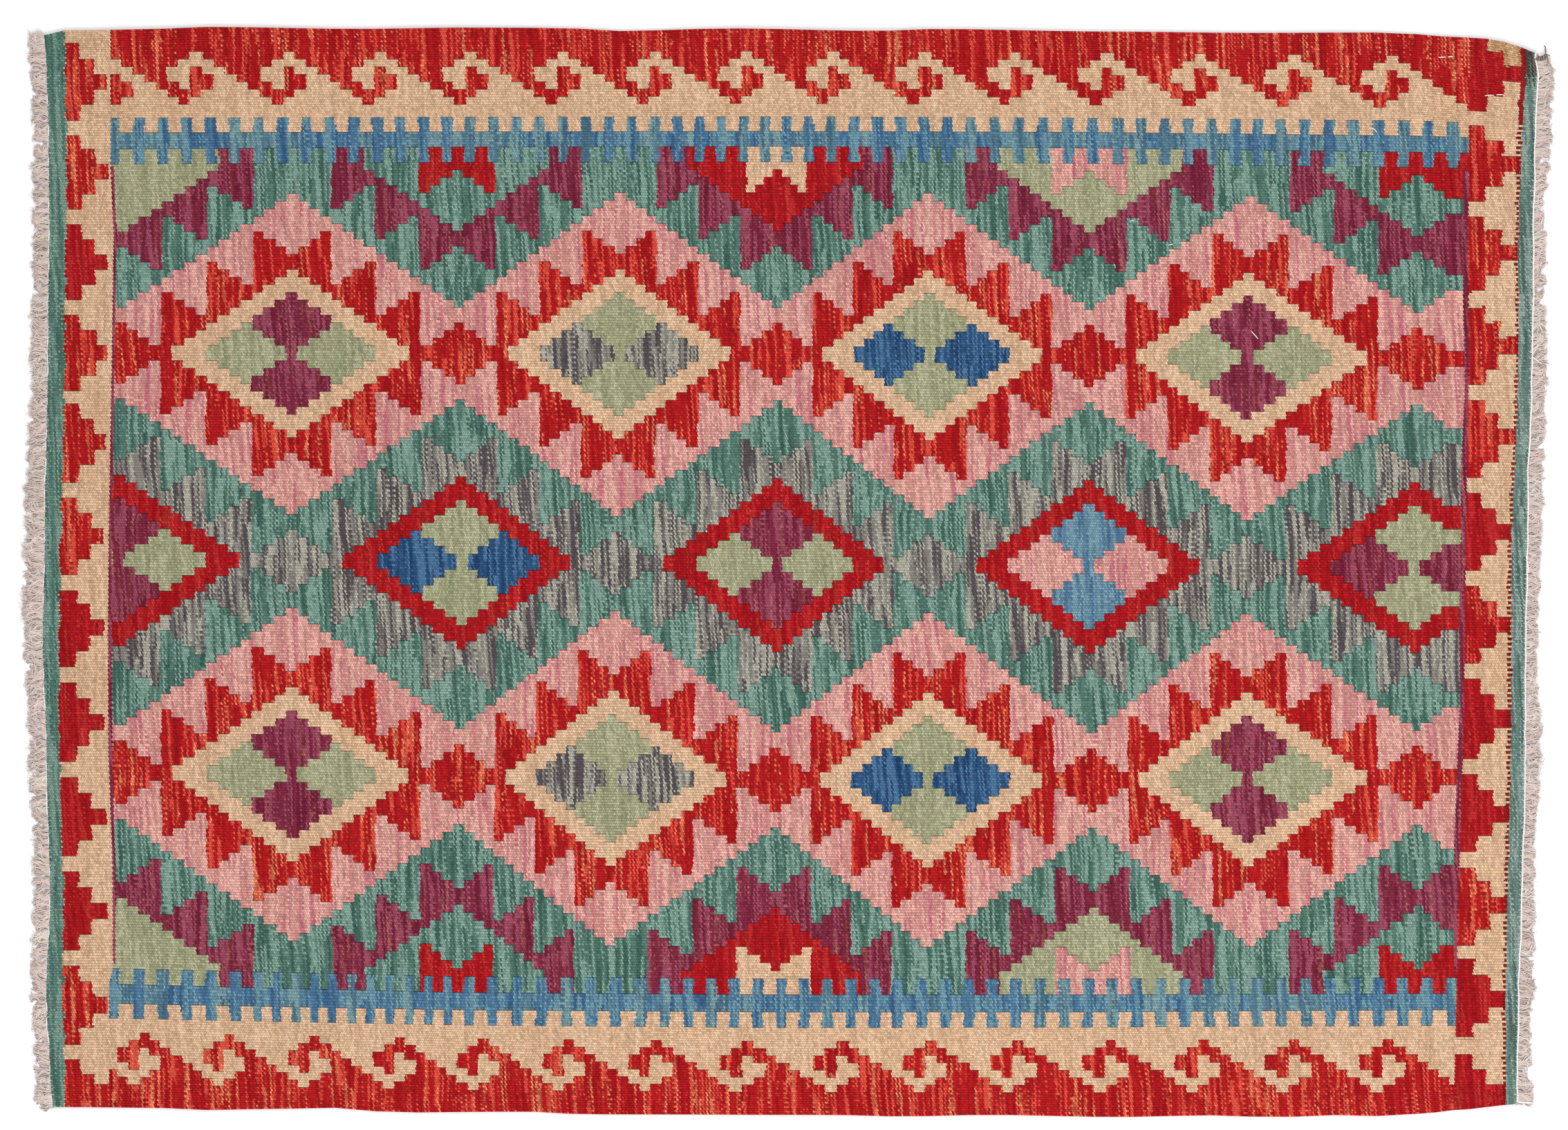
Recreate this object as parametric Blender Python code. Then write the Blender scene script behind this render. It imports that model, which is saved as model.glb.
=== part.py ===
"""A flat-woven wool rug with a short fringe at each end, laid flat.

The cloth is one flat sheet. Its warps run along X, so a fringe of loose warp ends stands
at the left and the right, each a row of small locks fused at their roots to a narrow strip
that lies just outside the cloth's edge. The origin is under the middle of the whole rug,
+X is along its length and +Z is up.
"""
import random

import bmesh
import bpy
import numpy as np
from mathutils import Matrix

MM = 0.001

# the cloth: half its length to each end, half its width, and its thickness, in millimetres
HALF_LENGTH_LEFT = 712.0
HALF_LENGTH_RIGHT = 704.0
HALF_WIDTH_TOP = 518.0
HALF_WIDTH_BOTTOM = 516.0
CLOTH_THICKNESS = 2.6
EDGE_STEP = 21.0                # distance between outline points along an edge

# How far each edge strays outwards from the straight lines above, in millimetres.
# Columns: place along the edge (x for top and bottom, y for left and right), stray.
TOP_EDGE = (
    (-713, -5.5), (-694, -0.6), (-615, 0.2), (-564, 2.7), (-413, 0.7), (-309, 2.0),
    (-208, 1.5), (-170, -1.3), (-57, 1.2), (85, -1.3), (135, 0.7), (300, -1.8),
    (438, -3.1), (570, -2.7), (641, -7.4), (664, -8.5), (680, -12.2), (700, -16.0),
    (712, -23.0),
)
BOTTOM_EDGE = (
    (-706, -5.0), (-610, -4.3), (-558, -2.1), (-485, -3.4), (-426, -4.3), (-383, 0.3),
    (-257, -0.7), (-194, 2.1), (40, 2.5), (103, 4.1), (187, 2.5), (315, 4.6),
    (400, 2.9), (464, 4.9), (516, 2.5), (558, 3.9), (601, 1.4), (643, -2.8), (692, -8.0),
)
LEFT_EDGE = (
    (-511, -6.0), (-480, -3.2), (-404, 0.5), (-308, -3.2), (-173, 0.0), (-68, 3.8),
    (54, 1.5), (203, -1.2), (348, -2.5), (414, -1.5), (500, 0.5), (512, 2.5),
)
RIGHT_EDGE = (
    (-508, -11.7), (-468, -11.2), (-404, -10.3), (-341, -8.4), (-279, -6.6), (-223, -4.1),
    (-74, -3.5), (71, -1.4), (177, 2.0), (322, 4.0), (427, 6.0), (480, 8.0), (497, 6.0),
)

# the fringe, in millimetres
LOCKS_A_SIDE = 110
STRIP_GAP = 0.3                 # between the cloth's edge and the strip
STRIP_WIDTH = 2.6
STRIP_INSET = 3.0               # the strip ends this far short of the cloth's corners
FRINGE_THICKNESS = 1.8
TIP_THICKNESS = 0.9
ROOT_HALF_WIDTH = 2.9
MIDDLE_HALF_WIDTH = 2.5
TIP_HALF_WIDTH = 1.2
FULL_TAPER_LENGTH = 16.0        # a lock has thinned to its tip's thickness this far out
LOCK_JITTER = 0.7               # how far a lock's tip strays sideways by itself

# finishes
CLOTH_COLOUR = (0.33, 0.13, 0.11)
CLOTH_ROUGHNESS = 0.95
FRINGE_COLOUR = (0.58, 0.52, 0.48)
FRINGE_ROUGHNESS = 0.9

# Length and lean of the locks along each end, in millimetres.
# Columns: y, length of the locks there, shift of their tips along y.
LEFT_LOCKS = (
    (-512, 12, -3.5), (-440, 15, 1.0), (-340, 17, -1.5), (-200, 17, 1.0), (-60, 17, -1.0),
    (30, 19, 1.5), (150, 16, -1.0), (300, 15, 1.0), (420, 14, -1.0), (512, 17, 1.5),
)
RIGHT_LOCKS = (
    (-508, 16, -3.0), (-400, 18, -2.0), (-280, 15, -1.5), (-60, 15, -1.0), (70, 17, 1.0),
    (180, 16, 2.0), (290, 13, 1.5), (400, 17, 3.0), (497, 16, 3.5),
)


def read_table(place, rows, column=1):
    """The value of one column at a place between the rows of a table, eased smoothly."""
    places = np.array([row[0] for row in rows], dtype=float)
    values = np.array([row[column] for row in rows], dtype=float)
    place = float(np.clip(place, places[0], places[-1]))
    after = int(np.clip(np.searchsorted(places, place), 1, len(places) - 1))
    before = after - 1
    share = (place - places[before]) / (places[after] - places[before])
    eased = share * share * (3 - 2 * share)
    return values[before] + (values[after] - values[before]) * eased


def top_y(x):
    return HALF_WIDTH_TOP + read_table(x, TOP_EDGE)


def bottom_y(x):
    return -HALF_WIDTH_BOTTOM - read_table(x, BOTTOM_EDGE)


def left_x(y):
    return -HALF_LENGTH_LEFT - read_table(y, LEFT_EDGE)


def right_x(y):
    return HALF_LENGTH_RIGHT + read_table(y, RIGHT_EDGE)


def steps_between(start, end):
    """Places from start to end, about one outline step apart, without the last one."""
    count = max(2, round(abs(end - start) / EDGE_STEP))
    return np.linspace(start, end, count, endpoint=False)


def cloth_outline():
    """The cloth's edge, anticlockwise from its lower left corner, in millimetres."""
    left_low, left_high = left_x(LEFT_EDGE[0][0]), left_x(LEFT_EDGE[-1][0])
    right_low, right_high = right_x(RIGHT_EDGE[0][0]), right_x(RIGHT_EDGE[-1][0])
    bottom = [(x, bottom_y(x)) for x in steps_between(left_low, right_low)]
    right = [(right_x(y), y) for y in steps_between(bottom_y(right_low), top_y(right_high))]
    top = [(x, top_y(x)) for x in steps_between(right_high, left_high)]
    left = [(left_x(y), y) for y in steps_between(top_y(left_high), bottom_y(left_low))]
    return bottom + right + top + left


def fringe_ends(side):
    """Lowest and highest y of the strip at one side (-1 left, +1 right)."""
    if side < 0:
        low, high = bottom_y(left_x(LEFT_EDGE[0][0])), top_y(left_x(LEFT_EDGE[-1][0]))
    else:
        low, high = bottom_y(right_x(RIGHT_EDGE[0][0])), top_y(right_x(RIGHT_EDGE[-1][0]))
    return low + STRIP_INSET, high - STRIP_INSET


def edge_x(side, y):
    return left_x(y) if side < 0 else right_x(y)


def lock_outline(side, y, length, lean):
    """One lock's six corners, from low y to high y: root, middle, tip and back."""
    root = edge_x(side, y) + side * (STRIP_GAP + STRIP_WIDTH)
    middle = root + side * length * 0.55
    tip = root + side * length
    return [
        (root, y - ROOT_HALF_WIDTH),
        (middle, y + 0.4 * lean - MIDDLE_HALF_WIDTH),
        (tip, y + lean - TIP_HALF_WIDTH),
        (tip, y + lean + TIP_HALF_WIDTH),
        (middle, y + 0.4 * lean + MIDDLE_HALF_WIDTH),
        (root, y + ROOT_HALF_WIDTH),
    ]


def fringe_outline(side):
    """The strip and its locks at one side, as one comb-shaped outline in millimetres."""
    rows = LEFT_LOCKS if side < 0 else RIGHT_LOCKS
    chance = random.Random(7 + side)
    low, high = fringe_ends(side)
    inner = [(edge_x(side, y) + side * STRIP_GAP, y) for y in steps_between(high, low)]
    inner.append((edge_x(side, low) + side * STRIP_GAP, low))
    outer = []
    for y in np.linspace(low + ROOT_HALF_WIDTH, high - ROOT_HALF_WIDTH, LOCKS_A_SIDE):
        length = read_table(y, rows, 1) * chance.uniform(0.86, 1.12)
        lean = read_table(y, rows, 2) + chance.uniform(-LOCK_JITTER, LOCK_JITTER)
        outer += lock_outline(side, y, length, lean)
    return inner + outer


def flat_solid(name, outline, thickness):
    """A flat closed mesh with the given outline, from z = 0 up to the thickness."""
    curve = bpy.data.curves.new(name + "_outline", "CURVE")
    curve.dimensions = "2D"
    curve.fill_mode = "BOTH"
    curve.extrude = thickness * MM / 2
    spline = curve.splines.new("POLY")
    spline.points.add(len(outline) - 1)
    for point, (x, y) in zip(spline.points, outline):
        point.co = (x * MM, y * MM, 0, 1)
    spline.use_cyclic_u = True
    flat = bpy.data.objects.new(name + "_outline", curve)
    bpy.context.scene.collection.objects.link(flat)
    evaluated = flat.evaluated_get(bpy.context.evaluated_depsgraph_get())
    mesh = bpy.data.meshes.new_from_object(evaluated)
    bpy.data.objects.remove(flat)
    mesh.name = name
    mesh.transform(Matrix.Translation((0, 0, thickness * MM / 2)))
    join_faces(mesh)
    return mesh


def join_faces(mesh):
    """Join the flat faces to the walls along their shared points."""
    work = bmesh.new()
    work.from_mesh(mesh)
    bmesh.ops.remove_doubles(work, verts=work.verts, dist=0.00001)
    bmesh.ops.recalc_face_normals(work, faces=work.faces)
    work.to_mesh(mesh)
    work.free()


def thin_towards_tips(mesh, side):
    """Lower the top of each lock, from the strip's thickness at its root to its tip's."""
    for vertex in mesh.vertices:
        if vertex.co.z < FRINGE_THICKNESS * MM / 2:
            continue
        root = edge_x(side, vertex.co.y / MM) + side * (STRIP_GAP + STRIP_WIDTH)
        reach = max(0.0, side * (vertex.co.x / MM - root))
        share = min(1.0, reach / FULL_TAPER_LENGTH)
        vertex.co.z = (FRINGE_THICKNESS + (TIP_THICKNESS - FRINGE_THICKNESS) * share) * MM


def plain_material(name, colour, roughness):
    material = bpy.data.materials.new(name)
    material.use_nodes = True
    shader = material.node_tree.nodes["Principled BSDF"]
    shader.inputs["Base Color"].default_value = (*colour, 1)
    shader.inputs["Roughness"].default_value = roughness
    shader.inputs["Metallic"].default_value = 0.0
    return material


def add_part(name, mesh, material, parts):
    """Place one named piece of the rug in its collection."""
    mesh.materials.append(material)
    part = bpy.data.objects.new(name, mesh)
    parts.objects.link(part)
    return part


def centre_over_origin(objects):
    """Move the pieces together so that the origin is under the middle of their box."""
    corners = [vertex.co for part in objects for vertex in part.data.vertices]
    middle_x = (min(co.x for co in corners) + max(co.x for co in corners)) / 2
    middle_y = (min(co.y for co in corners) + max(co.y for co in corners)) / 2
    for part in objects:
        part.location = (-middle_x, -middle_y, 0)


def build_rug():
    parts = bpy.data.collections.new("kilim_rug")
    bpy.context.scene.collection.children.link(parts)
    wool = plain_material("cloth_wool", CLOTH_COLOUR, CLOTH_ROUGHNESS)
    cloth_mesh = flat_solid("kilim_cloth", cloth_outline(), CLOTH_THICKNESS)
    pieces = [add_part("kilim_cloth", cloth_mesh, wool, parts)]
    for name, side in (("fringe_left", -1), ("fringe_right", 1)):
        yarn = plain_material(name + "_yarn", FRINGE_COLOUR, FRINGE_ROUGHNESS)
        mesh = flat_solid(name, fringe_outline(side), FRINGE_THICKNESS)
        thin_towards_tips(mesh, side)
        pieces.append(add_part(name, mesh, yarn, parts))
    centre_over_origin(pieces)


for old in list(bpy.data.objects):
    bpy.data.objects.remove(old)
build_rug()
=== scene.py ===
"""The looks of a flat-woven wool rug that lies flat, its ribs along X and a fringe at each end.

The cloth is one closed sheet with its warp ribs in the mesh. Each point of it carries its
place in the woven pattern, counted in pattern columns and rows, and the wool's material
works out the colour there from step formulas: rows of diamonds with hooked halos between
two combs, two bands of running hooks and two borders of half diamonds. The fringes are the
loose warp ends, each a lock of a few strands. The script works in millimetres and turns
them into metres as it makes a mesh.
"""
from math import comb, floor

import bpy
import numpy as np
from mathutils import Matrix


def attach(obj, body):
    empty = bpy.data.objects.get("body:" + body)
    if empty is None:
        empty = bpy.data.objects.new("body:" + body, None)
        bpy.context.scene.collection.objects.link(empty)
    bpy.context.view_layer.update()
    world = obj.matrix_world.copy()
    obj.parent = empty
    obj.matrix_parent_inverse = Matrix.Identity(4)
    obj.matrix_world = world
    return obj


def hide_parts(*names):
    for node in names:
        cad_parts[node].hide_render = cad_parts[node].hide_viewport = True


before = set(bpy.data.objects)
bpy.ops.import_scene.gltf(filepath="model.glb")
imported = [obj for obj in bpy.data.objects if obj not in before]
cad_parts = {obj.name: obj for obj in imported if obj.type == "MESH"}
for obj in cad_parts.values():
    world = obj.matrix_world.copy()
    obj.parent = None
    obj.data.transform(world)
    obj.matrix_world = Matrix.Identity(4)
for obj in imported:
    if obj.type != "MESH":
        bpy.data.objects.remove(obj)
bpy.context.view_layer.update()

MM = 0.001

# the weave
CLOTH_THICKNESS = 2.6
RIBS_A_ROW = 3                  # warp ribs in one row of the pattern
POINTS_A_RIB = 3                # mesh lines in one rib
RIB_DEPTH = 0.3                 # from the crest of a rib to the valley beside it
BEAD = 1.7                      # one weft's turn over a rib, along the rib
BEAD_LEAN = 0.36                # how far a bead slants across its rib, in beads
WANDER = 5.0                    # how far a weft strays sideways along its way
WEFT_LEAN = 0.05                # how far the wefts lean from upright, as a slope
COLUMN = 10.9                   # mean width of a pattern column

# the rows of the pattern, counted downwards
LAST_ROW = 134                  # the lower hooks end here, as the upper ones start at row 0
EDGE_RIBS = 10                  # plain red ribs outside the hooks
MIDDLE_ROW = 67
COMB_MIDDLE = 55.0              # from the middle row to the middle of a comb
HOOKS_START = 60.0              # and to the inner side of the hooks
FIELD_TOP = 13.0                # the first row of the field that no comb covers
DIAMOND_ROWS = 27.0             # from a diamond's middle to the next one's of the other kind
DIAMOND_COLUMNS = 15.0          # and across
LINE_MIDDLE = 66.8              # the middle of the plum lines at the field's sides
LINE_REACH = 51.4               # and how far they reach from it
DOT_LINE_END = 9.0              # the red dots at the right join up above this row
TAN_END = 2.5                   # tan wool at the upper right corner ends here
DARK_END = 2.9                  # and dark green wool in the end band about here, raggedly

# Where the woven lines run: the row, and its height y at each of these places x.
ROW_STATIONS = (-641, -311.5, -11, 286, 600, 712)
ROW_LINES = (
    (0, 497, 497, 497.5, 496, 493, 481),
    (7, 446.5, 446.5, 447.5, 446, 443.5, 437),
    (9, 433.5, 434.5, 435, 433.5, 431, 426.5),
    (11, 419.5, 420.5, 421, 420, 416.5, 413),
    (13, 404, 406, 406.5, 405, 401, 399),
    (40, 209.5, 209, 208.5, 206.5, 204, 203),
    (67, 12.5, 10, 7.5, 6, 4, 4),
    (94, -191, -195, -198.5, -199, -195.5, -195.5),
    (121, -393.5, -401.5, -403.5, -403.5, -402.5, -402.5),
    (123, -412, -418, -420, -420, -418, -418),
    (125, -426, -432.5, -435, -434.5, -433, -433),
    (127, -439.5, -445.5, -448, -447, -446, -446),
    (134, -489, -494.5, -496.5, -497, -497, -496),
)

# The upright lines through the middles of the diamonds: the column, and its x at these heights.
COLUMN_STATIONS = (404.5, 208.5, 8, -196, -391)
COLUMN_LINES = (
    (0, -636, -637.5, -640, -637, -637.5),
    (15, -473, -474.5, -474.5, -474.5, -472),
    (30, -317.5, -314, -311.5, -314.5, -316),
    (45, -161, -161.5, -165.5, -169.5, -172),
    (60, -11, -11, -11, -13, -12.5),
    (75, 132, 134.5, 133.5, 132.5, 131),
    (90, 287, 286.5, 286, 289.5, 292),
    (105, 442.5, 437, 437, 437.5, 440.5),
    (120, 600, 600.5, 596.5, 600.5, 601.5),
)

# The field's own edges: height y, and x there of column FIELD_LEFT, then of FIELD_RIGHT.
FIELD_LEFT_EDGE = (
    (388, -647.5), (322, -644.5), (216, -646), (54, -649), (-61, -650), (-173, -649.5),
    (-226, -647.5), (-279, -645.5), (-378, -645), (-392, -649),
)
FIELD_RIGHT_EDGE = (
    (388, 644), (256, 643.5), (177, 645.5), (98, 641.5), (18, 641.5), (-48, 639.5),
    (-114, 641), (-180, 638), (-246, 635.5), (-312, 634), (-378, 635), (-420, 633),
)

# The side borders: height of each half diamond's middle, and x there of the border's four
# upright lines, from left to right. The right one has a fifth, where its teal end band starts.
LEFT_BORDER = (
    (468.5, -691, -677, -663, -651.5),
    (381.5, -689, -674.5, -661.5, -649.5),
    (295, -690.5, -675.5, -661.5, -650),
    (209, -691.5, -676.5, -661, -650.5),
    (124.5, -692.5, -677, -662.5, -652),
    (33.5, -695.5, -678, -666, -654.5),
    (-53, -697, -680.5, -667, -653.5),
    (-142.5, -697, -680.5, -667.5, -654),
    (-232.5, -694, -679, -665.5, -651.5),
    (-323, -692.5, -677.5, -665, -650.5),
    (-413.5, -693, -677, -663.5, -650),
    (-501.5, -690.5, -675, -663, -649.5),
)
RIGHT_BORDER = (
    (475.5, 649.5, 666.5, 683, 698.5, 703.5),
    (390, 649, 664.5, 682, 694.5, 698),
    (304.5, 648.5, 664.5, 680, 694, 696),
    (216.5, 649.5, 665.5, 678.5, 694.5, 696.5),
    (128.5, 648, 663.5, 677, 692, 694),
    (38.5, 646.5, 660.5, 676, 687.5, 690),
    (-49.5, 645, 660.5, 675, 686, 689.5),
    (-140, 644.5, 659.5, 674, 686, 689.5),
    (-231, 641.5, 657.5, 671.5, 685.5, 688),
    (-318, 639, 655.5, 670.5, 684, 686),
    (-407.5, 637, 654, 668.5, 681.5, 684),
    (-497, 635, 650.5, 665.5, 681.5, 684.5),
)
BORDER_PERIOD = 12              # rows from one half diamond to the next

# Columns of the lines that bound the parts of the pattern, from left to right.
CLOTH_LEFT = -5.6
BORDER_LEFT = -4.2
FIELD_LEFT = -0.85
LAST_COLUMN = 123.4             # in the field's last whole column
FIELD_RIGHT = 124.2
BORDER_RIGHT = 124.6
LINE_RIGHT = 127.6
BAND_RIGHT = 128.0
CLOTH_RIGHT = 129.4

# The combs' teeth: number of a tooth, x of its middle.
TOP_TEETH = (
    (0, -643), (10, -415), (17, -260), (24, -106), (31, 40), (38, 196), (44, 337),
    (51, 492), (57, 634), (58, 658),
)
BOTTOM_TEETH = (
    (0, -644), (6, -505), (11, -418), (17, -307), (25, -118), (31, 14.5), (40, 216.5),
    (50, 447.5), (58, 632),
)

# x of each running hook's crest
TOP_HOOKS = (
    -566, -476.5, -390, -303.5, -215, -128, -39, 41.5, 130, 216.5, 303.5, 393, 482, 576,
)
BOTTOM_HOOKS = (
    -614.5, -534.5, -452.5, -371.5, -291.5, -210, -127.5, -39.5, 51.5, 135.5, 219, 307.5,
    396, 482, 573,
)
HOOK_PERIOD = 8                 # columns from one hook to the next

# the mesh of the cloth
CELLS_A_DIAMOND = 4             # mesh columns between two upright lines of the field
RIM = 1.2                       # width of the rounded rim along the cloth's ends
RIM_INSET = 0.8                 # how far the underside draws in from the outline

# the fringes: each loose warp end is a lock of a few strands
STRANDS_A_LOCK = 8
UNDER_STRANDS = 3               # of these, how many lie flat and loose under the lock
STRAND_POINTS = 8
LOCK_SPREAD = 0.9               # how far a strand lies from its lock's middle, usually
LOCK_WIDTH = 1.8                # and at most
LOCK_HEIGHT = 0.9               # how far a lock's middle stands above its sides
UNDER_WIDTH = 2.8               # how far the loose strands lie from it at most
STRAND_RADIUS = 0.55
UNDER_RADIUS = 0.65
ROOT_INSET = 0.8                # the locks start this far inside the cloth's end
STRAND_TAPER = 0.45             # how much thinner a strand is at its tip, as a share
CRIMPS = 1.1                    # waves of crimp along a strand
CRIMP = 0.55                    # how far a wave turns it, usually, in radians
LEFT_FRINGE_SEED = 11
RIGHT_FRINGE_SEED = 12

# How much strands differ: the spread from tuft to tuft, from lock to lock and within a lock.
LEANS = (0.16, 0.18, 0.1)
CURLS = (0.5, 0.7, 0.4)
LENGTHS = (0.04, 0.05, 0.07)
CRIMP_DEPTHS = (0.15, 0.15, 0.06)
CRIMP_PHASES = (0.8, 0.6, 0.05)
STRAND_TINTS = (0.1, 0.14, 0.16)

# How far the fringes reach. Columns: y, reach past the cloth's end, shift of the tips along y.
LEFT_REACHES = (
    (-512, 13, -3.5), (-454, 11.5, 1.0), (-404, 12.5, 0.5), (-330, 13, -1.5), (-246, 12.5, 1.0),
    (-180, 15, -0.5), (-110, 14, -1.0), (-34, 16.5, 1.0), (58, 16.5, 1.0), (140, 14, -1.0),
    (216, 14.5, 0.5), (280, 12.5, 1.0), (348, 13.5, -1.0), (454, 12.5, 1.0), (512, 13.5, 1.5),
)
RIGHT_REACHES = (
    (-497, 13.5, -3.0), (-452, 11, -3.0), (-407, 12.5, -2.0), (-363, 13.5, -2.0),
    (-318, 12, -1.5), (-253, 9.5, -1.5), (-186, 14, -1.5), (-140, 14, -1.0),
    (-95, 9.5, -1.0), (-50, 11, -0.5), (38, 12.5, 1.0), (172, 12.5, 2.0), (216, 13.5, 1.5),
    (260, 10.5, 1.5), (305, 12, 1.5), (348, 9.5, 2.0), (390, 13, 3.0), (431, 14, 3.5),
    (470, 14, 4.0), (483, 12.5, 3.0), (490, 6, 0.0), (497, 3, -1.0),
)

# the white twined threads
TWINE_RADIUS = 0.42             # of one of the two strands
LEFT_TWINE_RADIUS = TWINE_RADIUS * 0.8
TWINE_PITCH = 5.0               # a strand's full turn round the other
TWINE_TINTS = (0.3, 0.8)
TWINE_STRAY = 0.45              # how far the thread strays to each kink, usually
KINK_SPACING = 14.0
KINK_REACH = 560                # the kinks reach this far from the middle
THREAD_STEP = 0.7               # between the points of a thread

# The bent ends of the right thread, as points (x, y).
UPPER_TURN = ((715, 497), (709, 493.5), (714, 488), (714.5, 480))
LOWER_TAIL = ((695.5, -503), (695, -507), (697, -506), (709, -506.5))

# Loose tails of the right thread that lie on the fringe, as points (x, y, z).
THREAD_TAILS = (
    ((709.2, 205, 3.4), (712, 211, 4.0), (715.6, 219.7, 3.0)),
    ((709.2, 206, 3.6), (713, 203, 4.0), (719.2, 198.2, 2.6)),
    ((703.5, 15, 3.4), (705.5, 8, 4.4), (706.5, -1, 3.2)),
)
TAIL_RADIUS = 0.5

# the threads' small stitches in the wool
STITCH_SPACING = 5.2
STITCH_LENGTH = 2.4
STITCH_RADIUS = 0.22
STITCH_SEED = 13

# Dark weft ends at the upper right corner, as points (x, y, z).
DARK_ENDS = (
    ((720.8, 503, 2.6), (723.5, 500, 3.4), (722, 495, 3.0)),
    ((722, 493.5, 3.2), (724.5, 494, 3.6), (727, 493.4, 2.6)),
    ((722.5, 491.5, 3.0), (726, 491.5, 3.4), (724.6, 485, 1.8)),
)
DARK_END_RADIUS = 0.6

# the knot beside them: two more, wound round a path of points (x, y)
COIL_PATH = ((713.5, 491), (716, 489.5), (720, 491), (724, 494))
COIL_HEIGHT = 3.4
COIL_RADIUS = 1.5
COIL_PITCH = 4.2
COIL_YARN = 0.8
COIL_TINTS = (0.2, 0.9)

# Bits of white lint on the cloth, as points (x, y, z).
LINT = (
    ((553.5, 423.6, 4.9), (558.5, 425, 5.2), (561.5, 419, 4.9)),
    ((326, 335, 4.4), (327.8, 336.4, 4.8), (329.5, 335, 4.4)),
    ((363, 313, 4.5), (364.8, 312, 4.8), (366.5, 313.6, 4.5)),
    ((441, 230.5, 4.4), (444, 227, 4.9), (448, 222.5, 4.4)),
    ((620, 491, 4.9), (623, 491.8, 5.2), (627, 491.6, 4.9)),
    ((629, 491.8, 4.9), (631, 492.4, 5.2), (634, 491.6, 4.9)),
    ((664, 454.5, 4.9), (668, 455.6, 5.2), (673, 455, 4.9)),
    ((675, 455.5, 4.9), (678, 456, 5.2), (682, 455.6, 4.9)),
)
LINT_RADIUS = 0.44


# ---------------------------------------------------------------- meshes

def make_mesh(name, points, faces, material, smooth=True):
    """A piece at the origin from points in millimetres and its faces."""
    mesh = bpy.data.meshes.new(name)
    mesh.from_pydata((np.asarray(points) * MM).tolist(), [], faces)
    if smooth:
        mesh.polygons.foreach_set("use_smooth", np.ones(len(mesh.polygons), bool))
    mesh.materials.append(material)
    mesh.validate()
    piece = bpy.data.objects.new(name, mesh)
    bpy.context.scene.collection.objects.link(piece)
    return piece


def add_attribute(piece, name, vectors):
    """Three numbers for each point of a piece, which its material reads by name."""
    layer = piece.data.attributes.new(name, "FLOAT_VECTOR", "POINT")
    layer.data.foreach_set("vector", np.ascontiguousarray(vectors, dtype=np.float32).ravel())


def along_stations(values, stations, place):
    """Values at stations, carried straight between them to any place.

    It is the first value plus each stretch's rise times the share of it that is passed.
    """
    result = values[..., :1] + 0 * place
    for k in range(len(stations) - 1):
        share = np.clip((place - stations[k]) / (stations[k + 1] - stations[k]), 0, 1)
        result = result + (values[..., k + 1:k + 2] - values[..., k:k + 1]) * share
    return result


def read_line(rows, place, column=1):
    """A table's column at any place; the table's first column falls or rises steadily."""
    table = np.array(rows, dtype=float)
    table = table[np.argsort(table[:, 0])]
    return np.interp(place, table[:, 0], table[:, column])


# ---------------------------------------------------------------- the cloth's outline

def cloth_edges():
    """The solid cloth's edges as points (x, y): bottom, right, top and left.

    The solid's points all lie on its outline. Sorted by their bearing from the middle they
    run round it once, and each corner is the point that reaches furthest on its diagonal.
    """
    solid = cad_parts["kilim_cloth"].data.vertices
    points = np.zeros(len(solid) * 3)
    solid.foreach_get("co", points)
    points = np.unique((points.reshape(-1, 3)[:, :2] / MM).round(3), axis=0)
    reach = np.abs(points).max(axis=0)
    points = points[np.argsort(np.arctan2(points[:, 1] / reach[1], points[:, 0] / reach[0]))]
    first = np.argmax(points @ (-1, -1))
    points = np.roll(points, -first, axis=0)
    corners = [0] + [int(np.argmax(points @ way)) for way in ((1, -1), (1, 1), (-1, 1))]
    ring = np.vstack([points, points[:1]])
    ends = corners[1:] + [len(points)]
    return [ring[start:end + 1] for start, end in zip(corners, ends)]


bottom_edge, right_edge, top_edge, left_edge = cloth_edges()


def read_edge(edge, along):
    """An edge as a function: its other coordinate at a place on the one that rises along it."""
    return lambda place: np.interp(place, edge[:, along], edge[:, 1 - along])


bottom_y = read_edge(bottom_edge, 0)
right_x = read_edge(right_edge, 1)
top_y = read_edge(top_edge[::-1], 0)
left_x = read_edge(left_edge[::-1], 1)


# ---------------------------------------------------------------- places in the pattern

def row_height(row, x):
    """Height y of the pattern's rows, one a line of x.

    Between the measured lines it runs straight both ways. Outside the first and the last
    line, the plain ribs share out what is left up to the cloth's edge.
    """
    table = np.array(ROW_LINES, dtype=float)
    inner = np.clip(row, 0, LAST_ROW)
    heights = np.stack([np.interp(inner, table[:, 0], line) for line in table[:, 1:].T], axis=1)
    y = along_stations(heights, ROW_STATIONS, x)
    outer = EDGE_RIBS / RIBS_A_ROW
    above = np.clip(-row / outer, 0, 1)[:, None]
    below = np.clip((row - LAST_ROW) / outer, 0, 1)[:, None]
    y = y + (top_y(x) - y) * above
    return y + (bottom_y(x) - y) * below


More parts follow.
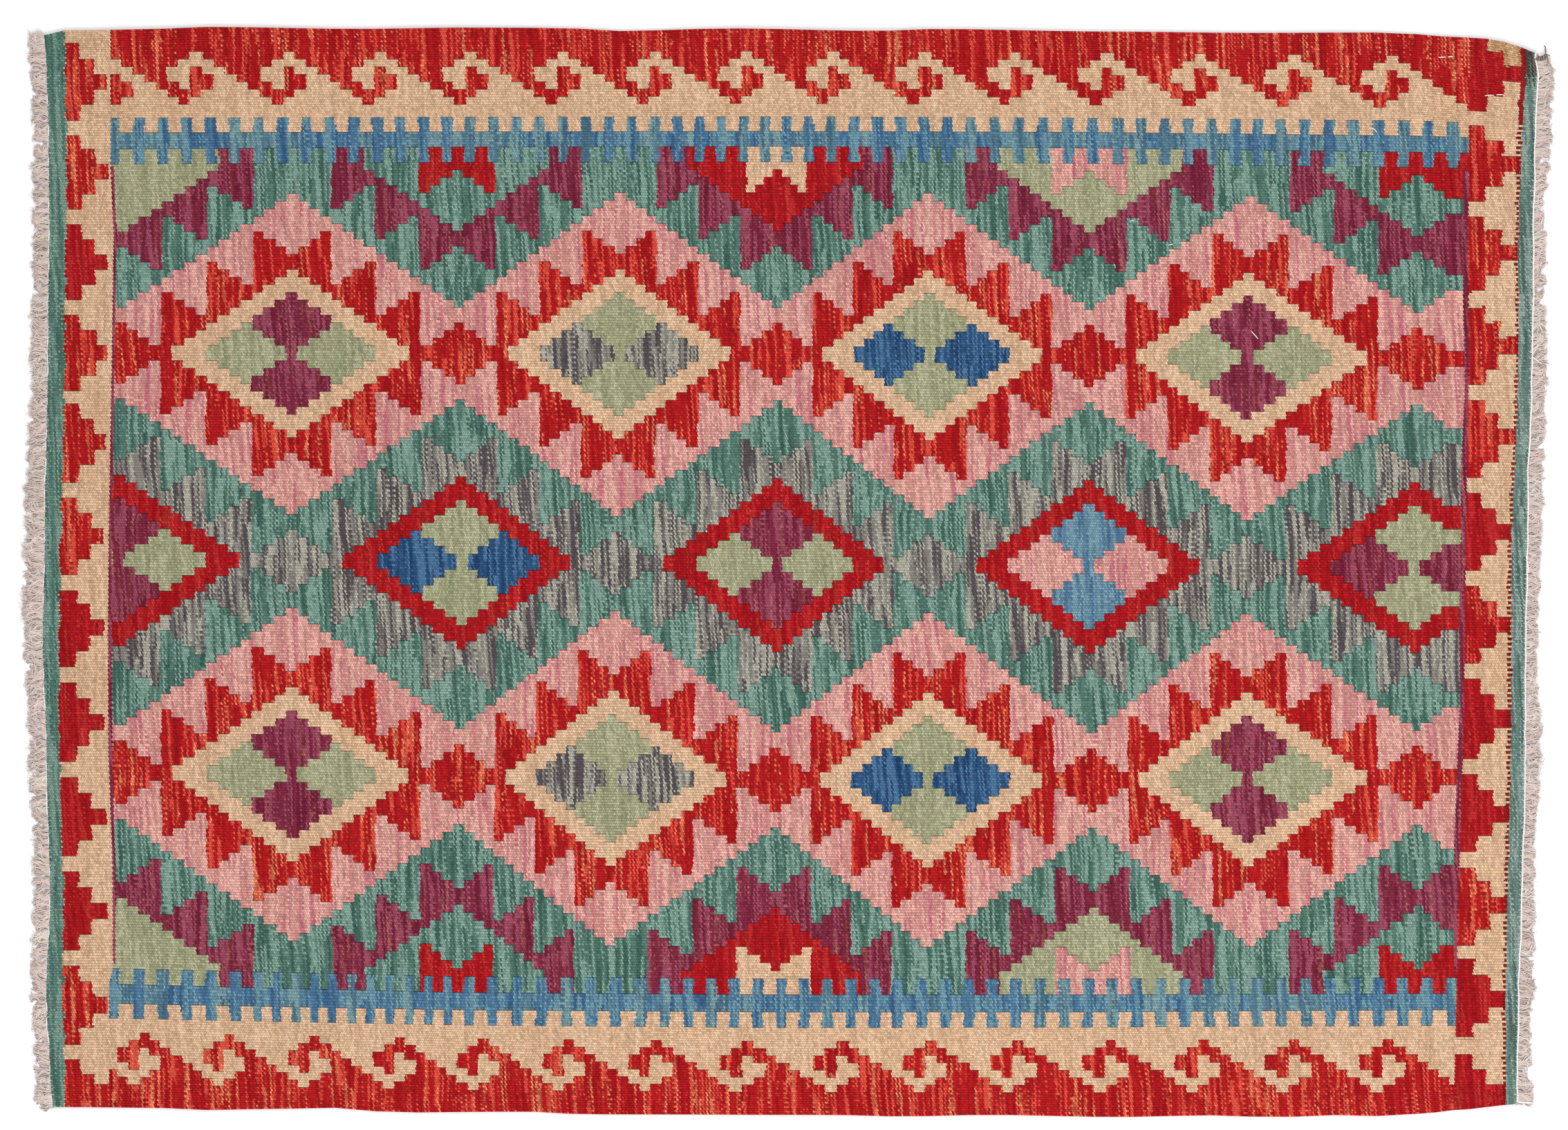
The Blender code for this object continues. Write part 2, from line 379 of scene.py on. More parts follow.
def upright_lines():
    """The pattern's upright lines, from the left edge to the right: column, x as f(y)."""
    def border_line(rows, k):
        return lambda y: read_line(rows, y, k + 1)

    def field_line(line):
        return lambda y: np.interp(-y, [-h for h in COLUMN_STATIONS], line[1:])

    lines = [
        (CLOTH_LEFT, left_x),
        (CLOTH_LEFT + RIM / COLUMN, lambda y: left_x(y) + RIM),
        (CLOTH_LEFT + 0.7, lambda y: (left_x(y) + read_line(LEFT_BORDER, y)) / 2),
    ]
    lines += [(BORDER_LEFT + k, border_line(LEFT_BORDER, k)) for k in range(4)]
    lines.append((FIELD_LEFT, lambda y: read_line(FIELD_LEFT_EDGE, y)))
    lines += [(line[0], field_line(line)) for line in COLUMN_LINES]
    lines.append((FIELD_RIGHT, lambda y: read_line(FIELD_RIGHT_EDGE, y)))
    lines += [(BORDER_RIGHT + k, border_line(RIGHT_BORDER, k)) for k in range(4)]
    lines += [
        (BAND_RIGHT, border_line(RIGHT_BORDER, 4)),
        (CLOTH_RIGHT - 0.7, lambda y: (right_x(y) + read_line(RIGHT_BORDER, y, 5)) / 2),
        (CLOTH_RIGHT - RIM / COLUMN, lambda y: right_x(y) - RIM),
        (CLOTH_RIGHT, right_x),
    ]
    return lines


def cloth_grid():
    """Rows, columns and places (x, y) of the cloth's mesh points.

    A point lies where a row meets a column. Each depends a little on the other, so both
    are settled in three turns from the middle height. Between two upright lines of the
    field the grid has more columns, spaced evenly.
    """
    fine = RIBS_A_ROW * POINTS_A_RIB
    edge = EDGE_RIBS * POINTS_A_RIB
    rows = np.arange(-edge, LAST_ROW * fine + edge + 1) / fine
    lines = upright_lines()
    columns = np.array([column for column, _ in lines])
    y = np.repeat(row_height(rows, np.zeros((len(rows), 1))), len(lines), axis=1)
    for _ in range(3):
        x = np.stack([place(y[:, k]) for k, (_, place) in enumerate(lines)], axis=1)
        y = row_height(rows, x)
    shares = [np.arange(cells) / cells for cells in cells_between(columns)] + [np.zeros(1)]
    index = np.concatenate([np.full(len(part), k) for k, part in enumerate(shares)])
    share = np.concatenate(shares)
    after = np.minimum(index + 1, len(columns) - 1)
    x = x[:, index] + (x[:, after] - x[:, index]) * share
    columns = columns[index] + (columns[after] - columns[index]) * share
    return rows, columns, x, row_height(rows, x)


def cells_between(columns):
    """How many mesh columns fit between each two neighbouring lines."""
    return [CELLS_A_DIAMOND if gap > 10 else 2 if gap > 3 else 1 for gap in np.diff(columns)]


def border_rows(x, y):
    """Rows along the side borders, a whole number of periods at each half diamond's middle."""
    def counted(rows):
        heights = np.array([row[0] for row in rows], dtype=float)
        first = 2 * heights[0] - heights[1]
        last = 2 * heights[-1] - heights[-2]
        heights = np.concatenate([[first], heights, [last]])
        return np.interp(-y, -heights, BORDER_PERIOD * (np.arange(len(heights)) - 1.0))
    return np.where(x < 0, counted(LEFT_BORDER), counted(RIGHT_BORDER))


def counted_marks(marks, x, period):
    """Number of the mark at x times the period, going on evenly past both ends."""
    places = np.array(marks, dtype=float)
    step = (places[-1] - places[0]) / (len(places) - 1)
    places = np.concatenate([[places[0] - 2 * step], places, [places[-1] + 2 * step]])
    numbers = np.arange(len(places)) - 1.0
    numbers[0] -= 1
    numbers[-1] += 1
    return np.interp(x, places, numbers * period)


def band_places(rows, x):
    """Place along the running hooks, in columns, and along the comb, in teeth."""
    upper = rows[:, None] < MIDDLE_ROW
    hooks = np.where(
        upper,
        counted_marks(TOP_HOOKS, x, HOOK_PERIOD),
        counted_marks(BOTTOM_HOOKS, x, HOOK_PERIOD),
    )
    teeth = np.where(
        upper,
        read_line([(place, tooth) for tooth, place in TOP_TEETH], x),
        read_line([(place, tooth) for tooth, place in BOTTOM_TEETH], x),
    )
    return hooks, teeth


# ---------------------------------------------------------------- the cloth

def unevenness(x, y):
    """How far the cloth stands off the floor: long waves, a little more at its long sides."""
    waves = (
        0.35 * np.sin(x / 97 + 0.4) * np.sin(y / 71 + 1.1)
        + 0.25 * np.sin(x / 41 - y / 83 + 2.0)
        + 0.2 * np.sin(x / 23 + y / 131)
    )
    side = np.clip((np.abs(y) - 470) / 50, 0, 1)
    return 0.8 + waves + 0.5 * side * (0.5 + 0.5 * np.sin(x / 58 + 0.8))


def cloth_levels(rows, columns, x, y):
    """Heights z of the upper side: the ribs' rounded crests, and the rim half way down."""
    phase = rows * RIBS_A_ROW
    crest = np.sin(np.pi * (phase - np.floor(phase + 1e-6))) ** 0.6
    z = np.repeat((CLOTH_THICKNESS - RIB_DEPTH * (1 - crest))[:, None], len(columns), axis=1)
    z[0] = z[-1] = CLOTH_THICKNESS / 2
    z[:, 0] = z[:, -1] = CLOTH_THICKNESS / 2
    return z + unevenness(x, y)


def quads(numbers):
    """Faces between the neighbours of a grid of point numbers, upwards if rows go down."""
    return np.stack(
        [numbers[:-1, :-1], numbers[1:, :-1], numbers[1:, 1:], numbers[:-1, 1:]], axis=-1
    ).reshape(-1, 4)


def cloth_faces(upper, lower):
    """Upper side, underside and the wall round them.

    The underside has one line of points a rib, so a wall face at the ends has a whole rib's
    points above and two below.
    """
    faces = quads(upper).tolist() + quads(lower)[:, ::-1].tolist()
    for line, under, turn in ((upper[0], lower[0], 1), (upper[-1], lower[-1], -1)):
        wall = np.stack([line[:-1], line[1:], under[1:], under[:-1]], axis=-1)
        faces += wall[:, ::turn].tolist()
    for side, turn in ((0, -1), (-1, 1)):
        above = upper[:, side]
        below = lower[:, side]
        ribs = [above[k:len(above) - POINTS_A_RIB + k:POINTS_A_RIB] for k in range(POINTS_A_RIB)]
        wall = np.stack(ribs + [above[POINTS_A_RIB::POINTS_A_RIB], below[1:], below[:-1]], axis=-1)
        faces += wall[:, ::turn].tolist()
    return faces


def make_cloth(material):
    """One closed sheet: ribs above, a flat underside with one line of points a rib."""
    rows, columns, x, y = cloth_grid()
    z = cloth_levels(rows, columns, x, y)
    rib_lines = np.arange(0, len(rows), POINTS_A_RIB)
    under_x = x[rib_lines].copy()
    under_y = y[rib_lines].copy()
    under_z = unevenness(under_x, under_y)
    under_x[:, 0] += RIM_INSET
    under_x[:, -1] -= RIM_INSET
    under_y[0] -= RIM_INSET
    under_y[-1] += RIM_INSET
    points = np.concatenate([
        np.stack([x, y, z], axis=-1).reshape(-1, 3),
        np.stack([under_x, under_y, under_z], axis=-1).reshape(-1, 3),
    ])
    upper = np.arange(x.size).reshape(x.shape)
    lower = x.size + np.arange(under_x.size).reshape(under_x.shape)
    cloth = make_mesh("kilim_rug", points, cloth_faces(upper, lower), material)

    hooks, teeth = band_places(rows, x)
    field = np.stack([columns + 0 * x, rows[:, None] + 0 * x, border_rows(x, y)], axis=-1)
    bands = np.stack([hooks, teeth, 0 * x], axis=-1)
    for name, values in (("field", field), ("bands", bands)):
        both = np.concatenate([values.reshape(-1, 3), values[rib_lines].reshape(-1, 3)])
        add_attribute(cloth, name, both)
    add_flat_map(cloth)
    return cloth


def add_flat_map(piece):
    """A map for baking: the piece seen from above, stretched to fill the square."""
    mesh = piece.data
    points = np.zeros(len(mesh.vertices) * 3)
    mesh.vertices.foreach_get("co", points)
    points = points.reshape(-1, 3)[:, :2]
    low = points.min(axis=0)
    places = (points - low) / (points.max(axis=0) - low)
    corners = np.zeros(len(mesh.loops), dtype=int)
    mesh.loops.foreach_get("vertex_index", corners)
    layer = mesh.uv_layers.new(name="OFBake")
    layer.data.foreach_set("uv", places[corners].astype(np.float32).ravel())


# ---------------------------------------------------------------- fringes and threads

def make_yarns(name, paths, radii, tints, material, sides=3, depths=0.0):
    """Thin closed tubes along paths (yarn, point, xyz) with a radius for each point.

    Each ring lies across its path: its first axis is the path's direction crossed with the
    upward one, and its second is that axis crossed with the path's direction. Each point
    carries its yarn's tint, how far along the yarn it is, and the yarn's depth, which is how
    far down the side of a lock it lies; the fringe's finish paints shade by that depth.
    """
    ahead = np.gradient(paths, axis=1)
    ahead /= np.linalg.norm(ahead, axis=2, keepdims=True)
    aside = np.cross(ahead, (0, 0, 1))
    aside /= np.linalg.norm(aside, axis=2, keepdims=True)
    upward = np.cross(aside, ahead)
    turns = np.arange(sides) * 2 * np.pi / sides
    ring = aside[:, :, None] * np.cos(turns)[:, None] + upward[:, :, None] * np.sin(turns)[:, None]
    points = paths[:, :, None] + ring * radii[:, :, None, None]

    numbers = np.arange(points[..., 0].size).reshape(points.shape[:3])
    beside = np.roll(numbers, -1, axis=2)
    walls = np.stack([numbers[:, :-1], numbers[:, 1:], beside[:, 1:], beside[:, :-1]], axis=-1)
    faces = walls.reshape(-1, 4).tolist() + numbers[:, 0].tolist() + numbers[:, -1, ::-1].tolist()
    piece = make_mesh(name, points.reshape(-1, 3), faces, material)

    way = np.linspace(0, 1, paths.shape[1])[:, None]
    facts = np.zeros(points.shape)
    facts[..., 0] = tints[:, None, None]
    facts[..., 1] = way
    facts[..., 2] = np.broadcast_to(depths, len(paths))[:, None, None]
    add_attribute(piece, "yarn", facts.reshape(-1, 3))
    return piece


def warp_ends(edge):
    """Places (x, y) where the warps leave the cloth at one end: the middle of each rib."""
    ribs = np.arange(-EDGE_RIBS, LAST_ROW * RIBS_A_ROW + EDGE_RIBS) + 0.5
    y = row_height(ribs / RIBS_A_ROW, np.zeros((len(ribs), 1)))[:, 0]
    for _ in range(3):
        x = edge(y)
        y = row_height(ribs / RIBS_A_ROW, x[:, None])[:, 0]
    return x, y


def strand_ways(way, lean, curl, crimp, phase, length):
    """How far outwards and across each point of the strands lies: sums of short steps.

    The heading of a step is the strand's lean, plus its curl times the square of the way
    along it, plus a crimp wave.
    """
    heading = (
        lean[..., None]
        + curl[..., None] * way ** 2
        + crimp[..., None] * np.sin(2 * np.pi * (CRIMPS * way + phase[..., None]))
    )
    step = length[..., None] / (STRAND_POINTS - 1)
    outwards = np.cumsum(np.cos(heading) * step, axis=-1) * (way > 0)
    across = np.cumsum(np.sin(heading) * step, axis=-1) * (way > 0)
    return outwards, across


def lock_sections(chance, under, locks):
    """How far across its lock and above its sides each strand lies, its radius and height.

    A lock's middle stands above its sides as a half ellipse does. The last strands lie flat
    under it, thicker and wider apart. The height is the strand's own, out on the floor.
    """
    shape = (locks, STRANDS_A_LOCK)
    spread = np.clip(chance.normal(0, LOCK_SPREAD, shape), -LOCK_WIDTH, LOCK_WIDTH)
    hump = LOCK_HEIGHT * np.sqrt(1 - (spread / LOCK_WIDTH) ** 2) * (1 - under)
    spread = np.where(under, chance.uniform(-UNDER_WIDTH, UNDER_WIDTH, shape), spread)
    radius = np.where(under, UNDER_RADIUS, STRAND_RADIUS)
    layer = hump + radius + chance.uniform(0, 0.8, (locks, 1)) * (1 - 0.8 * under)
    return spread, hump, radius, layer


def make_fringe(name, side, edge, reaches, material, seed):
    """The loose warp ends at one end of the cloth, each a lock of a few curled strands.

    Neighbouring ends hang together in tufts, and a lock's strands keep together. With the
    square of the way left, the height falls from the middle of the cloth's edge to a loose
    layer on the floor. The strands under a lock are straighter and shorter.
    """
    chance = np.random.default_rng(seed)
    x, y = warp_ends(edge)
    tuft = np.repeat(np.arange(len(y)), chance.integers(1, 5, len(y)))[:len(y)]
    under = np.arange(STRANDS_A_LOCK) >= STRANDS_A_LOCK - UNDER_STRANDS

    def mixed(of_tufts, of_locks, of_strands):
        return (
            chance.normal(0, of_tufts, len(y))[tuft][:, None]
            + chance.normal(0, of_locks, (len(y), 1))
            + chance.normal(0, of_strands, (len(y), STRANDS_A_LOCK))
        )

    reach = read_line(reaches, y, 1)[:, None]
    lean = read_line(reaches, y, 2)[:, None] / reach + mixed(*LEANS) * (1 - 0.6 * under)
    curl = mixed(*CURLS) * (1 - 0.5 * under)
    length = (reach + ROOT_INSET) * np.clip(1.1 + mixed(*LENGTHS), 0.75, 1.3)
    length = length * (1 - 0.12 * under)
    crimp = CRIMP + mixed(*CRIMP_DEPTHS)
    phase = mixed(*CRIMP_PHASES)
    way = np.linspace(0, 1, STRAND_POINTS)
    outwards, across = strand_ways(way, lean, curl, crimp, phase, length)

    spread, hump, radius, layer = lock_sections(chance, under, len(y))
    root = unevenness(x, y)[:, None] + CLOTH_THICKNESS / 2 + hump / 2
    paths = np.stack([
        x[:, None, None] + side * (outwards - ROOT_INSET),
        y[:, None, None] + spread[..., None] * (1 - 0.35 * way ** 2) + across,
        layer[..., None] + (root - layer)[..., None] * (1 - way) ** 2,
    ], axis=-1).reshape(-1, STRAND_POINTS, 3)
    radii = np.tile(radius, len(y))[:, None] * (1 - STRAND_TAPER * way ** 2)
    tints = np.clip(0.5 + mixed(*STRAND_TINTS), 0, 1).reshape(-1)
    # how far down a lock's side each strand lies, the loose strands deep under it; the fringe's
    # finish paints shade by it
    depths = np.where(under, 0.7, np.abs(spread) / LOCK_WIDTH).reshape(-1)
    return make_yarns(name, paths, radii, tints, material, 3, depths)


def curve_through(controls, count):
    """A smooth curve led by a few points: their Bernstein polynomials, summed."""
    controls = np.array(controls, dtype=float)
    last = len(controls) - 1
    t = np.linspace(0, 1, count)[:, None]
    terms = [comb(last, k) * t ** k * (1 - t) ** (last - k) * controls[k] for k in range(last + 1)]
    return sum(terms)


def smoothed(path, width):
    """A path with each point moved to the mean of its neighbours, the two ends held."""
    kernel = np.ones(width) / width
    inner = np.stack([np.convolve(path[:, k], kernel, "valid") for k in range(2)], axis=-1)
    return np.vstack([path[:1], inner, path[-1:]])


def make_wound_pair(name, path, distance, pitch, radius, tints, material, sides=5):
    """Two strands wound round a path: circles across it, a full turn for each pitch."""
    ahead = np.gradient(path, axis=0)
    length = np.cumsum(np.linalg.norm(ahead, axis=1))
    aside = np.cross(ahead, (0, 0, 1))
    aside /= np.linalg.norm(aside, axis=1, keepdims=True)
    turn = 2 * np.pi * length / pitch
    first = aside * np.cos(turn)[:, None] + np.array((0, 0, 1.0)) * np.sin(turn)[:, None]
    strands = np.stack([path + first * distance, path - first * distance])
    radii = np.full(strands.shape[:2], radius)
    return make_yarns(name, strands, radii, np.array(tints), material, sides)


def rim_height(x, y):
    """Height of the middle of a thread that lies on the cloth's rounded end."""
    return unevenness(x, y) + CLOTH_THICKNESS - 0.4


def kinked(y, seed):
    """Sideways strays of a thread: random at even kinks and straight between them."""
    kinks = np.arange(-KINK_REACH, KINK_REACH + 1, KINK_SPACING)
    return np.interp(y, kinks, np.random.default_rng(seed).normal(0, TWINE_STRAY, len(kinks)))


def make_right_thread(material):
    """The white thread twined along the right end, from its bent upper end to its tail."""
    y = np.arange(UPPER_TURN[-1][1], LOWER_TAIL[0][1], -THREAD_STEP)
    x = right_x(y) + 0.2 + kinked(y, RIGHT_FRINGE_SEED)
    x[0] = UPPER_TURN[-1][0]
    straight = np.stack([x, y], axis=-1)
    flat = np.vstack([curve_through(UPPER_TURN, 24), straight, curve_through(LOWER_TAIL, 24)])
    flat = smoothed(flat, 5)
    path = np.column_stack([flat, rim_height(flat[:, 0], flat[:, 1])])
    return make_wound_pair(
        "twined_thread_right", path, TWINE_RADIUS * 0.9, TWINE_PITCH, TWINE_RADIUS,
        TWINE_TINTS, material,
    )


def make_left_thread(material):
    """The white thread along the left end, which dips below the wool for most of its way.

    Its height is the rim's plus the sum of three sine waves of unlike lengths.
    """
    y = np.arange(left_edge[0, 1] - 3, left_edge[-1, 1] + 3, -THREAD_STEP)
    x = left_x(y) + 0.6 + kinked(y, LEFT_FRINGE_SEED)
    waves = np.sin(y / 2.3) + np.sin(y / 5.1 + 1) + np.sin(y / 17 + 2)
    path = np.column_stack([x, y, rim_height(x, y) - 0.6 + 0.4 * waves])
    return make_wound_pair(
        "twined_thread_left", path, LEFT_TWINE_RADIUS, TWINE_PITCH, LEFT_TWINE_RADIUS,
        TWINE_TINTS, material,
    )


def make_stitches(material):
    """Small white stitches that run from the threads a little way into the wool.

    They stand about evenly, each shifted by chance, and lie just above the last ribs.
    """
    chance = np.random.default_rng(STITCH_SEED)
    y = np.arange(-500, 480, STITCH_SPACING)
    y = np.concatenate([y, y]) + chance.uniform(-2, 2, 2 * len(y))
    side = np.repeat((-1.0, 1.0), len(y) // 2)
    x = np.where(side < 0, left_x(y), right_x(y)) - side * 0.4
    length = STITCH_LENGTH * chance.uniform(0.4, 1.2, len(y))
    rise = length * chance.uniform(-0.2, 0.9, len(y))
    way = np.linspace(0, 1, 5)
    along_x = (x - side * length * way[:, None]).T
    along_y = (y + rise * way[:, None]).T
    height = unevenness(along_x, along_y) + CLOTH_THICKNESS + 0.5 * (0.5 - way)
    paths = np.stack([along_x, along_y, height], axis=-1)
    radii = np.tile(STITCH_RADIUS * (1 - 0.4 * way), (len(y), 1))
    return make_yarns("thread_stitches", paths, radii, np.linspace(0, 1, len(y)), material, 4)


def make_short_yarns(name, rows, radius, count, material):
    """Short curved yarns that lie on the rug or beside it, thinner towards both ends."""
    paths = np.stack([curve_through(row, count) for row in rows])
    way = np.linspace(0, 1, count)
    radii = np.tile(radius * (0.35 + 0.65 * np.sin(np.pi * way) ** 0.4), (len(rows), 1))
    tints = np.linspace(0, 1, len(rows))
    return make_yarns(name, paths, radii, tints, material, 5)


def make_weft_coil(material):
    """A knot of two dark weft ends at the upper right corner, wound round a short path."""
    flat = curve_through(COIL_PATH, 48)
    path = np.column_stack([flat, np.full(len(flat), COIL_HEIGHT)])
    return make_wound_pair(
        "dark_weft_coil", path, COIL_RADIUS, COIL_PITCH, COIL_YARN, COIL_TINTS, material, 6
    )


# ---------------------------------------------------------------- finishes

def srgb(red, green, blue):
    """A display colour, each part out of 255, as the linear colour that shaders take."""
    def linear(part):
        share = part / 255
        return share / 12.92 if share <= 0.04045 else ((share + 0.055) / 1.055) ** 2.4
    return (linear(red), linear(green), linear(blue), 1)


def operator(operation, turned=False):
    """A method that adds one Math node, its two inputs turned round if asked."""
    def apply(self, *others):
        inputs = (*others, self) if turned else (self, *others)
        return self.finish.math(operation, *inputs)
    return apply


class Value:
    """A node's output. Sums, products and comparisons of values add Math nodes.

    A comparison gives a mask, 1 or 0. A product of masks holds where both do, and | where
    either does.
    """

    def __init__(self, finish, socket):
        self.finish = finish
        self.socket = socket

    __add__ = __radd__ = operator("ADD")
    __mul__ = __rmul__ = operator("MULTIPLY")
    __sub__ = operator("SUBTRACT")
    __rsub__ = operator("SUBTRACT", turned=True)
    __truediv__ = operator("DIVIDE")
    __mod__ = operator("FLOORED_MODULO")
    __pow__ = operator("POWER")
    __lt__ = operator("LESS_THAN")
    __gt__ = operator("GREATER_THAN")
    __or__ = operator("MAXIMUM")
    __abs__ = operator("ABSOLUTE")
    __floor__ = operator("FLOOR")


class Finish:
    """A material under construction, with its shader's constants set by name."""

    def __init__(self, name, **constants):
        self.material = bpy.data.materials.new(name)
        self.material.use_nodes = True
        self.tree = self.material.node_tree
        self.shader = self.tree.nodes["Principled BSDF"]
        for socket, constant in constants.items():
            self.shader.inputs[socket.replace("_", " ")].default_value = constant

    def node(self, kind, settings=None, values=None, output=0):
        """Adds a node: its settings first, then its sockets' values or links; one output."""
        node = self.tree.nodes.new("ShaderNode" + kind)
        for name, setting in (settings or {}).items():
            if name == "stops":
                set_stops(node.color_ramp, setting)
            else:
                setattr(node, name, setting)
        for socket, value in (values or {}).items():
            self.fill(node.inputs[socket], value)
        return Value(self, node.outputs[output])

    def fill(self, socket, value):
        """Links a value to a socket, or sets a constant on it."""
        if isinstance(value, Value):
            self.tree.links.new(value.socket, socket)
        else:
            socket.default_value = value

    def math(self, operation, *values):
        return self.node("Math", {"operation": operation}, dict(enumerate(values)))

    def choose(self, mask, there, elsewhere):
        """One number where the mask is 1 and another where it is 0."""
        return self.node("Mix", {"data_type": "FLOAT"}, {0: mask, 2: elsewhere, 3: there})

    def blend(self, share, colour, other, way="MIX"):
        """A colour turned by its share into the other one."""
        settings = {"data_type": "RGBA", "blend_type": way}
        return self.node("Mix", settings, {0: share, 6: colour, 7: other}, output=2)

    def smooth(self, value, low, high):
        """0 below low, 1 above high and eased between them."""
        settings = {"interpolation_type": "SMOOTHSTEP"}
        return self.node("MapRange", settings, {0: value, 1: low, 2: high})

    def parts(self, vector):
        """The three numbers of a vector."""
        split = self.node("SeparateXYZ", values={0: vector})
        outputs = split.socket.node.outputs
        return [Value(self, outputs[k]) for k in range(3)]

    def vector(self, x, y, z=0.0):
        return self.node("CombineXYZ", values={0: x, 1: y, 2: z})

    def attribute(self, name):
        return self.node("Attribute", {"attribute_name": name}, output="Vector")

    def noise(self, x, y, detail=1.0):
        """Smooth noise from 0 to 1 over a plane, about one swell for each unit."""
        settings = {"noise_dimensions": "2D"}
        values = {"Vector": self.vector(x, y), "Scale": 1.0, "Detail": detail}
        return self.node("TexNoise", settings, values)

    def chance(self, x, y):
        """A number from 0 to 1 for each pair of whole numbers."""
        values = {"Vector": self.vector(x, y)}
        return self.node("TexWhiteNoise", {"noise_dimensions": "2D"}, values)

    def pick(self, place, stops):
        """A colour or number held for each of a few whole places, by steps."""
        count = len(stops)
        steps = [((k - 0.5) / count if k else 0.0, stop) for k, stop in enumerate(stops)]
        return self.node("ValToRGB", {"stops": steps}, {0: place / count})

    def bump(self, height, relief, strength=1.0):
        """The normal of a bump: its height from 0 to 1 times the relief in millimetres."""
        values = {"Strength": strength, "Distance": 1.0, "Height": height * (relief * MM)}
        return self.node("Bump", values=values)

    def done(self, **links):
        """Links the varying sockets and gives the material."""
        for name, value in links.items():
            self.fill(self.shader.inputs[name.replace("_", " ")], value)
        return self.material


def set_stops(ramp, stops):
    """A ramp that holds each stop's colour up to the next stop."""
    ramp.interpolation = "CONSTANT"
    while len(ramp.elements) < len(stops):
        ramp.elements.new(0.5)
    for element, (place, colour) in zip(ramp.elements, stops):
        element.position = place
        element.color = colour


# ---------------------------------------------------------------- the woven pattern

# The dyed wools, numbered: the plain colour, the lighter and the darker yarn in its streaks,
# how much of each shows, and how strongly pale glints do, from 0 to 1.
WOOLS = {
    "red": ((172, 22, 25), (214, 80, 62), (151, 11, 18), 0.11, 0.28, 0.35),
    "deep_red": ((165, 17, 24), (184, 40, 41), (147, 9, 18), 0.12, 0.25, 0.05),
    "cream": ((209, 171, 138), (217, 182, 150), (199, 161, 128), 0.2, 0.22, 0.0),
    "tan": ((190, 148, 108), (208, 172, 134), (166, 124, 86), 0.2, 0.25, 0.0),
    "teal": ((82, 116, 105), (127, 157, 145), (55, 89, 79), 0.32, 0.31, 0.0),
    "end_teal": ((86, 122, 111), (122, 150, 139), (64, 98, 87), 0.28, 0.28, 0.0),
    "dark_green": ((80, 80, 74), (108, 110, 100), (58, 57, 52), 0.3, 0.4, 0.0),
    "pink": ((198, 139, 131), (219, 166, 154), (187, 104, 117), 0.26, 0.2, 0.06),
    "green": ((157, 156, 123), (172, 170, 139), (142, 145, 112), 0.2, 0.28, 0.0),
    "purple": ((122, 38, 60), (150, 72, 93), (104, 24, 46), 0.26, 0.28, 0.1),
    "dark_blue": ((43, 80, 120), (76, 114, 150), (26, 58, 96), 0.22, 0.3, 0.0),
    "light_blue": ((90, 127, 149), (114, 148, 162), (66, 102, 134), 0.25, 0.25, 0.0),
    "grey": ((130, 127, 120), (170, 167, 153), (72, 63, 69), 0.22, 0.4, 0.0),
    "comb_blue": ((74, 113, 144), (106, 144, 156), (52, 89, 125), 0.3, 0.28, 0.0),
    "comb_teal": ((86, 122, 140), (118, 150, 154), (64, 98, 120), 0.3, 0.3, 0.0),
    "pale_teal": ((100, 127, 119), (139, 158, 149), (74, 98, 92), 0.28, 0.28, 0.0),
    "dot_red": ((134, 22, 24), (152, 33, 33), (112, 14, 18), 0.1, 0.2, 0.0),
}
NUMBER = {name: k for k, name in enumerate(WOOLS)}
PALE_GLINT = srgb(255, 186, 130)
STREAK_STRENGTH = 0.9           # how far a streak hides the plain colour
SERRATION = 0.7                 # how far a bead keeps to one colour, from 0 to 1
STEP_SWAY = 0.2                 # how far a step strays to either side together, in columns
# how far the painted shadow in slits darkens the colour
SLIT_SHADE = 0.62
BEAD_RELIEF = 0.4               # the bump of a bead
FIBRE_RELIEF = 0.1              # and of a yarn's fibres


# The lozenges inside the diamonds: above and below the middle, then left and right of it.
FIRST_LOZENGES = (
    ("purple", "green"), ("green", "grey"), ("green", "dark_blue"), ("purple", "green"),
)
MIDDLE_LOZENGES = (
    ("purple", "green"), ("green", "dark_blue"), ("purple", "green"), ("light_blue", "pink"),
    ("green", "purple"),
)
# The half diamonds at the combs: the body, then the figure that stands on the comb.
END_DIAMONDS = (
    ("green", "green"), ("teal", "deep_red"), ("deep_red", "cream"), ("green", "pink"),
    ("teal", "deep_red"),
)


def picked_numbers(f, place, choices):
    """The numbers of two wools, from the choice at a place.

    A ramp holds both in one colour, as shares of the number of wools.
    """
    stops = [(*(NUMBER[name] / len(WOOLS) for name in pair), 0.0, 1.0) for pair in choices]
    split = f.node("SeparateColor", values={0: f.pick(place, stops)})
    outputs = split.socket.node.outputs
    return [Value(f, outputs[k]) * len(WOOLS) for k in range(2)]


def diamond_place(f, u, v):
    """Whether a place is in a diamond of the first kind, and its p and q.

    Diamonds of two kinds stand in turn. p and q count the columns and rows from a diamond's
    middle, and the first kind holds what lies within 20 steps of it.
    """
    columns_off = floor(f.math("PINGPONG", u, DIAMOND_COLUMNS) + 0.5)
    rows_off = floor(f.math("PINGPONG", v - FIELD_TOP, DIAMOND_ROWS))
    first = columns_off + rows_off > 20.5
    p = f.choose(first, DIAMOND_COLUMNS - columns_off, columns_off)
    q = f.choose(first, DIAMOND_ROWS - 1 - rows_off, rows_off)
    return first, p, q


